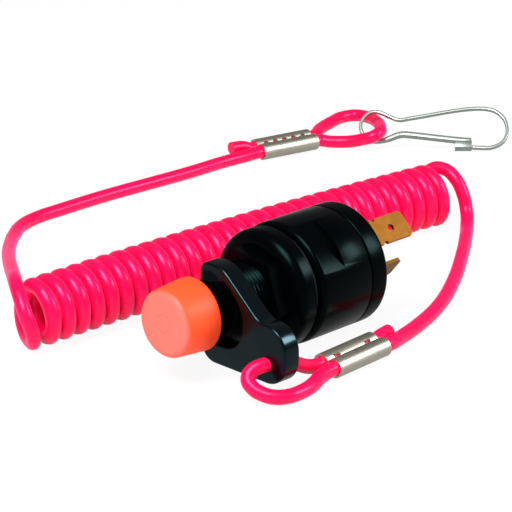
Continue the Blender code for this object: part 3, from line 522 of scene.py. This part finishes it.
# %% Housing
BODY_RADIUS = 13.65
SHOULDER = 19.7
NECK_FRONT = 37.1
NECK_RADIUS = 7.5
BORE_RADIUS = 6.3
CHAMBER_RADIUS = 10.6
CHAMBER_FRONT = 15.5
THREAD_PITCH = 1.0
THREAD_DEPTH = 0.45

thread = []
station = SHOULDER + 1.0
while station < NECK_FRONT - 1.4:
    thread += [(station, NECK_RADIUS), (station + 0.15, NECK_RADIUS),
               (station + 0.5, NECK_RADIUS - THREAD_DEPTH), (station + 0.62, NECK_RADIUS - THREAD_DEPTH)]
    station += THREAD_PITCH
housing = turn_profile("housing_shell", [
    (4.5, CHAMBER_RADIUS), (4.5, BODY_RADIUS - 0.15), (4.65, BODY_RADIUS),
    *arc(SHOULDER - 1.5, BODY_RADIUS - 1.4, 1.45, 88, 0, 8),
    (SHOULDER, NECK_RADIUS + 0.4), (SHOULDER, NECK_RADIUS),
    *thread,
    (NECK_FRONT - 0.6, NECK_RADIUS), (NECK_FRONT, NECK_RADIUS - 0.6), (NECK_FRONT, BORE_RADIUS),
    (CHAMBER_FRONT, BORE_RADIUS), (CHAMBER_FRONT, CHAMBER_RADIUS),
], ring=True)
FLAT_FLOOR = 12.15
FLAT_REAR, FLAT_FRONT = -18.4, -12.0
for degrees in (50, 230):
    cutter = block("flat_cutter", (FLAT_REAR, -14, 0), (FLAT_FRONT, 14, 8), on_spoke(FLAT_FLOOR, degrees))
    combine(housing, cutter)
soften(housing, 0.12, 2)
paint(housing, nylon)
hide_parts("housing")
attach(housing, "switch")
print("housing:", len(housing.data.polygons), "faces")

# %% Rear cap
cap = turn_profile("rear_cover", [
    (-0.8, 2.0), (-0.8, BODY_RADIUS - 1.2), *arc(0.4, BODY_RADIUS - 1.2, 1.2, 172, 90, 8),
    (4.05, BODY_RADIUS), (4.2, BODY_RADIUS - 0.15), (4.2, CHAMBER_RADIUS - 0.3), (5.1, CHAMBER_RADIUS - 0.3),
    (5.1, 2.0),
])
BLADES = (("outer", 10.3, 47, 3.2), ("inner", 5.2, -40, -6.8))
for _, circle, degrees, foot_end in BLADES:
    place = on_spoke(circle, degrees)
    combine(cap, block("blade_slot", (-6, -3.45, -0.7), (2, 3.45, 0.7), place))
    combine(cap, block("foot_slot", (-6, -2.3, foot_end - circle - 0.3), (-3.1, 2.3, 0.0), place))
soften(cap, 0.12, 2)
paint(cap, nylon)
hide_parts("rear_cap")
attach(cap, "switch")

# %% [markdown]
# ## Nut and washer
# The nut is a low hexagon on a round flange, moulded in one piece. The flange's front edge has a large
# round that ends where the hexagon's corners begin.

# %% Nut
NUT_REAR, FLANGE_FRONT, NUT_FRONT = 21.2, 26.2, 29.5
FLANGE_RADIUS, FLANGE_ROUND = 13.4, 2.7
HEX_ACROSS = 18.4
HEX_VERTEX = HEX_ACROSS / 2 / math.cos(math.pi / 6)
NUT_BORE = 7.8
nut = turn_profile("hex_nut", [
    (NUT_REAR, NUT_BORE), (NUT_REAR, FLANGE_RADIUS - 0.2), (NUT_REAR + 0.2, FLANGE_RADIUS),
    *arc(FLANGE_FRONT - FLANGE_ROUND, FLANGE_RADIUS - FLANGE_ROUND, FLANGE_ROUND, 90, 0, 12),
    (FLANGE_FRONT, NUT_BORE),
], ring=True)
hexagon = turn_profile("hexagon", [
    (FLANGE_FRONT - 1.0, NUT_BORE), (FLANGE_FRONT - 1.0, HEX_VERTEX + 1), (NUT_FRONT, HEX_VERTEX + 1),
    (NUT_FRONT, NUT_BORE),
], ring=True)
deselect()
bpy.ops.mesh.primitive_cylinder_add(vertices=6, radius=HEX_VERTEX * MM, depth=20 * MM)
prism = bpy.context.object
prism.matrix_world = (on_spoke(0, 20, NUT_FRONT - 3) @ Matrix.Rotation(math.pi / 2, 4, "Y"))
settle(prism)
combine(hexagon, prism, "INTERSECT")
combine(nut, hexagon, "UNION")
soften(nut, 0.14, 3, 20)
paint(nut, nylon)
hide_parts("panel_nut")
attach(nut, "switch")

# %% Washer
washer = turn_profile("seal_washer", [
    (20.0, 7.8), (20.0, 12.25), (20.15, 12.4), (20.75, 12.4), (20.9, 12.25), (20.9, 7.8),
], ring=True)
soften(washer, 0.05, 2)
paint(washer, nitrile)
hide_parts("panel_seal")
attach(washer, "switch")

# %% [markdown]
# ## Button
# The button is a soft orange cap pushed onto the plunger. Its side tapers so that it leaves the mould,
# its front edge is rounded, and the mould's gate leaves a faint ring in its face.

# %% Button
BUTTON_REAR, BUTTON_FACE = 44.1, 53.5
FACE_ROUNDING, GATE_MARK = 1.7, 0.1
button = turn_profile("orange_button", [
    (51.0, 0.8), (51.0, BORE_RADIUS), (BUTTON_REAR, BORE_RADIUS), (BUTTON_REAR, 7.65),
    *arc(BUTTON_REAR + 0.35, 7.7, 0.35, 180, 90, 5),
    *arc(BUTTON_FACE - FACE_ROUNDING, 5.75, FACE_ROUNDING, 86, 0, 10),
    (BUTTON_FACE, 2.3), (BUTTON_FACE - GATE_MARK, 2.15), (BUTTON_FACE - GATE_MARK, 1.75),
    (BUTTON_FACE, 1.6), (BUTTON_FACE, 0.5),
])
soften(button, 0.03, 2)
paint(button, soft_orange)
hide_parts("button_cap")
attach(button, "button")

# %% [markdown]
# ## Lanyard clip
# The clip is a thick fork. Its slot slips over the plunger and keeps the button out, and the lug beside
# it carries the cord. It is drawn as a flat outline, extruded, and its edges are well rounded.

# %% Clip
CLIP_BACK, CLIP_FRONT = 37.4, 41.8


def rounded_outline(corners, steps=10):
    """A closed outline of (across, rise, radius) corners with each corner rounded."""
    outline = []
    for index, (across, rise, radius) in enumerate(corners):
        here = Vector((across, rise))
        into = (here - Vector(corners[index - 1][:2])).normalized()
        out = (Vector(corners[(index + 1) % len(corners)][:2]) - here).normalized()
        bend = into.angle_signed(out)
        start = here - into * radius * math.tan(abs(bend) / 2)
        centre = start + Vector((into.y, -into.x)) * (radius if bend > 0 else -radius)
        for step in range(steps + 1):
            outline.append(centre + Matrix.Rotation(-bend * step / steps, 2) @ (start - centre))
    return outline


clip_outline = rounded_outline([
    (-0.9, 6.3, 0.5), (-0.9, 11.1, 2.2), (5.5, 11.1, 7.0), (16.4, 1.9, 5.0), (24.1, 1.9, 5.5),
    (24.1, -11.0, 5.5), (-0.9, -11.0, 4.1), (-0.9, -6.3, 0.5), (11.3, -6.3, 5.0), (11.3, 6.3, 6.0),
])
WEB_BACK, WEB_FRONT = 37.6, 39.4
WEB_HUG = 6.35


def plate(name, back, front, outline):
    """A flat outline on the switch, extruded from one station to another."""
    mesh = bpy.data.meshes.new(name)
    corners = [on_switch(back, across, rise) for across, rise in outline]
    mesh.from_pydata(corners, [], [list(range(len(corners)))])
    item = bpy.data.objects.new(name, mesh)
    bpy.context.scene.collection.objects.link(item)
    activate(item)
    bpy.ops.object.mode_set(mode="EDIT")
    bpy.ops.mesh.select_all(action="SELECT")
    bpy.ops.mesh.extrude_region_move(TRANSFORM_OT_translate={"value": ((back - front) * MM, 0, 0)})
    bpy.ops.mesh.select_all(action="SELECT")
    bpy.ops.mesh.normals_make_consistent(inside=False)
    bpy.ops.object.mode_set(mode="OBJECT")
    return item


def web_outline():
    """The thin wall at the slot's closed end, which hugs the plunger and runs into the fork all round."""
    outline = []
    for across, rise, size, angles in ((5.3, 0.3, 7, range(90, -1, -15)), (6.3, -1.3, 6, range(0, -91, -15)),
                                       (0, 0, WEB_HUG, range(-72, 73, 6))):
        for degrees in angles:
            angle = math.radians(degrees)
            outline.append((across + size * math.cos(angle), rise + size * math.sin(angle)))
    return outline


clip = plate("fork_clip", CLIP_BACK, CLIP_FRONT, clip_outline)
LUG_HOLE, LUG_HOLE_RADIUS = on_switch(0, 19.2, -6.8), 2.5
CLIP_ROUND = 1.9
combine(clip, rod("lug_hole", LUG_HOLE_RADIUS, -30, 0, Matrix.Translation(LUG_HOLE)))
soften(clip, CLIP_ROUND, 8, 50)
combine(clip, plate("web", WEB_BACK, WEB_FRONT, web_outline()), "UNION")
paint(clip, acetal)
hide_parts("lanyard_clip")
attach(clip, "clip")
print("clip:", len(clip.data.polygons), "faces")

# %% [markdown]
# ## Ferrules
# Each ferrule is a strip of plated brass, rolled round two runs of cord and crimped. Its two edges meet
# in the valley between the barrels.

# %% Ferrules
SLEEVE_BORE = CORD_RADIUS + 0.1
SLEEVE_RADIUS = 2.12
SEAM_SLOTS = (-5.0, 5.0)
SCALLOPS = (-5.6, -2.8, 0.0, 2.8, 5.6)


def in_metres(place):
    """A frame in millimetres as one in metres."""
    scaled = place.copy()
    scaled.translation = place.translation * MM
    return scaled


def shifted(place, along, across, up):
    """A frame moved in its own directions by millimetres."""
    return place @ Matrix.Translation(Vector((along, across, up)) * MM)


def double_sleeve(name, place):
    """Two joined barrels with open ends."""
    half = FERRULE_LENGTH / 2
    side = FERRULE_SPACING / 2
    sleeve = rod(name, SLEEVE_RADIUS, -half, half, shifted(place, 0, -side, 0))
    combine(sleeve, rod("far", SLEEVE_RADIUS, -half, half, shifted(place, 0, side, 0)), "UNION")
    for offset in (-side, side):
        combine(sleeve, rod("bore", SLEEVE_BORE, -half - 1, half + 1, shifted(place, 0, offset, 0)))
    return sleeve


clip_sleeve_place = in_metres(ferrule_frame(*CLIP_FERRULE))
clip_ferrule = double_sleeve("ferrule_clip_side", clip_sleeve_place)
for along in SEAM_SLOTS:
    window = block("window", (along - 1.0, -0.55, 0.2), (along + 1.0, 0.55, 3), clip_sleeve_place)
    combine(clip_ferrule, window)
soften(clip_ferrule, 0.12, 2)
paint(clip_ferrule, nickel)
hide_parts("ferrule_clip_end")
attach(clip_ferrule, "clip")

hook_sleeve_place = in_metres(ferrule_frame(*HOOK_FERRULE))
hook_ferrule = double_sleeve("ferrule_hook_side", hook_sleeve_place)
for along in SCALLOPS:
    spot = shifted(hook_sleeve_place, along, 0, 0) @ Matrix.Rotation(math.pi / 2, 4, "Y")
    combine(hook_ferrule, rod("crimp", 0.75, -4, -0.2, spot, 20))
soften(hook_ferrule, 0.12, 2)
paint(hook_ferrule, nickel)
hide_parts("ferrule_hook_end")
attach(hook_ferrule, "switch")

# %% [markdown]
# ## Snap hook
# The hook is one strip of spring steel, bent in a plane. Its free arm ends in a small catch that the
# tip rests in. It leans back on the surface, so its frame is tilted.

# %% Snap hook
HOOK_EYE = on_table(115.4, 84.9, 5.28)
HOOK_HEADING = math.radians(-46)
HOOK_LEAN = math.radians(50)
hook_line = [
    (25.5, -4.6, 1), (21.0, -4.2, 1), (14.6, -3.4, 1), (8.8, -2.7, 1), (6.6, -2.9, 1), (4.6, -3.8, 0.8),
    (2.4, -4.6, 0.4), (0.4, -4.8, 0.2), (-1.8, -3.8, 0.1), (-3.0, -1.8, 0.1), (-3.2, 0.6, 0), (-2.2, 2.8, 0),
    (-0.2, 4.2, 0), (2.0, 4.0, 0), (4.5, 2.7, 0), (6.8, 1.8, 0), (9.2, 2.2, 0), (14.0, 3.2, 0),
    (19.0, 4.3, 0), (24.0, 5.2, 0), (28.5, 5.5, 0), (31.8, 4.8, 0), (34.0, 2.8, 0), (34.9, 0.2, 0),
    (34.8, -2.6, 0), (33.5, -5.0, 0), (31.0, -6.4, 0), (28.0, -6.6, 0), (23.5, -6.3, 0),
]
along = Vector((math.cos(HOOK_HEADING), math.sin(HOOK_HEADING), 0))
back = Vector((-along.y, along.x, 0))
rise = Vector((0, 0, math.cos(HOOK_LEAN))) + back * math.sin(HOOK_LEAN)
hook_place = Matrix((along, rise, along.cross(rise))).transposed().to_4x4()
hook_place.translation = HOOK_EYE


def catmull(points, per_span):
    """A smooth run of points through the given ones."""
    run = []
    padded = [points[0] * 2 - points[1]] + points + [points[-1] * 2 - points[-2]]
    for a, b, c, d in zip(padded, padded[1:], padded[2:], padded[3:]):
        for step in range(per_span):
            t = step / per_span
            run.append(((b * 2) + (c - a) * t + (a * 2 - b * 5 + c * 4 - d) * t * t
                        + (b * 3 - a - c * 3 + d) * t ** 3) * 0.5)
    run.append(points[-1].copy())
    return run


def strip_sweep(name, run, place):
    """A flat strip with rounded edges along a run of (x, y, how heavy) points in a plane."""
    verts, faces = [], []
    for index, point in enumerate(run):
        before, after = run[max(index - 1, 0)], run[min(index + 1, len(run) - 1)]
        tangent = Vector((after.x - before.x, after.y - before.y)).normalized()
        normal = Vector((-tangent.y, tangent.x))
        heavy = min(max(point.z, 0), 1)
        thick = 0.42 + 0.30 * heavy
        wide = 0.60 + 0.30 * heavy
        for corner in range(16):
            angle = math.tau * (corner + 0.5) / 16
            c, s = math.cos(angle), math.sin(angle)
            offset = math.copysign(abs(c) ** 0.55, c) * thick
            depth = math.copysign(abs(s) ** 0.55, s) * wide
            spot = Vector((point.x + normal.x * offset, point.y + normal.y * offset, depth))
            verts.append(place @ (spot * MM))
    for index in range(len(run) - 1):
        for corner in range(16):
            a = index * 16 + corner
            b = index * 16 + (corner + 1) % 16
            faces.append((a, b, b + 16, a + 16))
    faces.append(tuple(range(15, -1, -1)))
    faces.append(tuple(range(len(verts) - 16, len(verts))))
    mesh = bpy.data.meshes.new(name)
    mesh.from_pydata(verts, [], faces)
    item = bpy.data.objects.new(name, mesh)
    bpy.context.scene.collection.objects.link(item)
    activate(item)
    bpy.ops.object.mode_set(mode="EDIT")
    bpy.ops.mesh.select_all(action="SELECT")
    bpy.ops.mesh.normals_make_consistent(inside=False)
    bpy.ops.object.mode_set(mode="OBJECT")
    return item


hook_run = catmull([Vector(point) for point in hook_line], 6)
hook = strip_sweep("spring_hook", hook_run, hook_place)
catch = block("catch", (21.3, -6.9, -1.15), (25.6, -5.0, 1.15), hook_place)
combine(hook, catch, "UNION")
soften(hook, 0.08, 2)
paint(hook, steel)
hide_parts("snap_hook")
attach(hook, "switch")

# %% [markdown]
# ## Terminals
# The two terminals are blades of rolled brass for push-on connectors. Each has chamfered corners, a
# hole that the connector's dimple snaps into, and two notches near the cap.

# %% Terminals
TIP = 13.0
BLADE_HALF_WIDTH, BLADE_HALF_THICK = 3.15, 0.4
CHAMFER_OUT, CHAMFER_ACROSS = 0.54, 3.69
through = Matrix.Rotation(math.pi / 2, 4, "Y")
diagonal = Matrix.Rotation(math.pi / 4, 4, "Z")
for label, circle, degrees, foot_end in BLADES:
    place = on_spoke(circle, degrees)
    blade = block("blade_" + label, (-4.2, -BLADE_HALF_WIDTH, -BLADE_HALF_THICK),
                  (TIP, BLADE_HALF_WIDTH, BLADE_HALF_THICK), place)
    for side in (-1, 1):
        corner = place @ Matrix.Translation((TIP * MM + CHAMFER_OUT * MM, side * CHAMFER_ACROSS * MM, 0))
        combine(blade, block("wedge", (-1.3, -1.3, -1), (1.3, 1.3, 1), corner @ diagonal))
        notch = place @ Matrix.Translation((4.3 * MM, side * BLADE_HALF_WIDTH * MM, 0)) @ through
        combine(blade, rod("notch", 0.6, -1, 1, notch, 24))
    hole = place @ Matrix.Translation((8.0 * MM, 0, 0)) @ through
    combine(blade, rod("hole", 0.85, -1, 1, hole, 32))
    combine(blade, block("foot", (-4.2, -2.0, foot_end - circle), (-3.4, 2.0, 0.2), place), "UNION")
    soften(blade, 0.10, 2)
    paint(blade, brass)
    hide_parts("terminal_" + label)
    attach(blade, "switch")

# %% [markdown]
# ## CAD nodes that stay
# The plunger and the parts inside the housing keep their CAD shapes and get real materials.

# %% Paint the CAD nodes
CAD_FINISH = {
    "plunger": nylon, "plunger_seal": nitrile, "contact_base": phenolic, "contact_stud_outer": spring_steel,
    "contact_stud_inner": spring_steel, "return_spring": spring_steel, "contact_spring": spring_steel,
    "bridge_retainer": spring_steel, "contact_bridge": brass,
}
for name, material in CAD_FINISH.items():
    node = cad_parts[name]
    if node.material_slots:
        for slot in node.material_slots:
            slot.material = material
    else:
        node.data.materials.append(material)

for piece in (cord_clip, cord_coil):
    paint(piece, pvc)
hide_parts("cord_clip_lead")
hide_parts("cord_coil", "cord_hook_lead")
activate(cord_clip)
bpy.ops.object.convert(target="MESH")
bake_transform(cord_clip)
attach(cord_coil, "switch")

# %% [markdown]
# ## Floor, light and background
# The photograph is cut out on white, so camera and transmission rays see the floor and the world as
# plain white. Glossy rays see a greyer room, which keeps the black plastic black and shapes the metal.
# Two soft lamps give the long highlights.

# %% Floor
deselect()
bpy.ops.mesh.primitive_plane_add(size=6, location=(0, 0, 0))
floor = bpy.context.object
floor.name = "floor"
CAMERA_SHARE, GLOSSY_LEVEL = 0.92, 0.5
floor_material, floor_tree, floor_shader = new_material("floor_white", "F4F4F4", 0.9)
floor_shader.inputs["Specular IOR Level"].default_value = 0.0
path = add_node(floor_tree, "ShaderNodeLightPath")
seen = add_node(floor_tree, "ShaderNodeMath", {"operation": "MAXIMUM"},
                {0: path.outputs["Is Camera Ray"], 1: path.outputs["Is Transmission Ray"]})
seen = add_node(floor_tree, "ShaderNodeMath", {"operation": "MULTIPLY", 1: CAMERA_SHARE},
                {0: seen.outputs[0]})
share = add_node(floor_tree, "ShaderNodeMath", {"operation": "MAXIMUM"},
                 {0: path.outputs["Is Glossy Ray"], 1: seen.outputs[0]})
level = add_node(floor_tree, "ShaderNodeMath", {"operation": "MULTIPLY_ADD", 1: GLOSSY_LEVEL - 1, 2: 1.0},
                 {0: path.outputs["Is Glossy Ray"]})
white = add_node(floor_tree, "ShaderNodeEmission", {"Color": (1, 1, 1, 1)}, {"Strength": level.outputs[0]})
blend = add_node(floor_tree, "ShaderNodeMixShader", None,
                 {0: share.outputs[0], 1: floor_shader.outputs[0], 2: white.outputs[0]})
floor_tree.links.new(blend.outputs[0], floor_tree.nodes["Material Output"].inputs["Surface"])
floor.data.materials.append(floor_material)

# %% World
ROOM_LEVEL = 0.16
world = bpy.data.worlds.new("studio")
bpy.context.scene.world = world
world.use_nodes = True
sky = world.node_tree.nodes["Background"]
sky.inputs["Color"].default_value = (1, 1, 1, 1)
path = add_node(world.node_tree, "ShaderNodeLightPath")
seen = add_node(world.node_tree, "ShaderNodeMath", {"operation": "MAXIMUM"},
                {0: path.outputs["Is Camera Ray"], 1: path.outputs["Is Transmission Ray"]})
level = add_node(world.node_tree, "ShaderNodeMapRange", {"To Min": ROOM_LEVEL, "To Max": 1.0},
                 {"Value": seen.outputs[0]})
world.node_tree.links.new(level.outputs["Result"], sky.inputs["Strength"])


# %% Lamps
def soft_lamp(name, place, aim, size, watts):
    """A square soft box that points at a place."""
    lamp = bpy.data.lights.new(name, "AREA")
    lamp.size = size
    lamp.energy = watts
    item = bpy.data.objects.new(name, lamp)
    item.location = place
    item.rotation_euler = (aim - place).to_track_quat("-Z", "Y").to_euler()
    bpy.context.scene.collection.objects.link(item)


soft_lamp("key", Vector((-0.36, -0.10, 0.60)), on_table(20, 20, 0), 0.34, 7.5)
soft_lamp("fill", Vector((0.40, -0.42, 0.36)), on_table(20, 20, 0), 0.22, 3.0)

bpy.context.scene.view_settings.view_transform = "Standard"

# %% Finish
deselect()
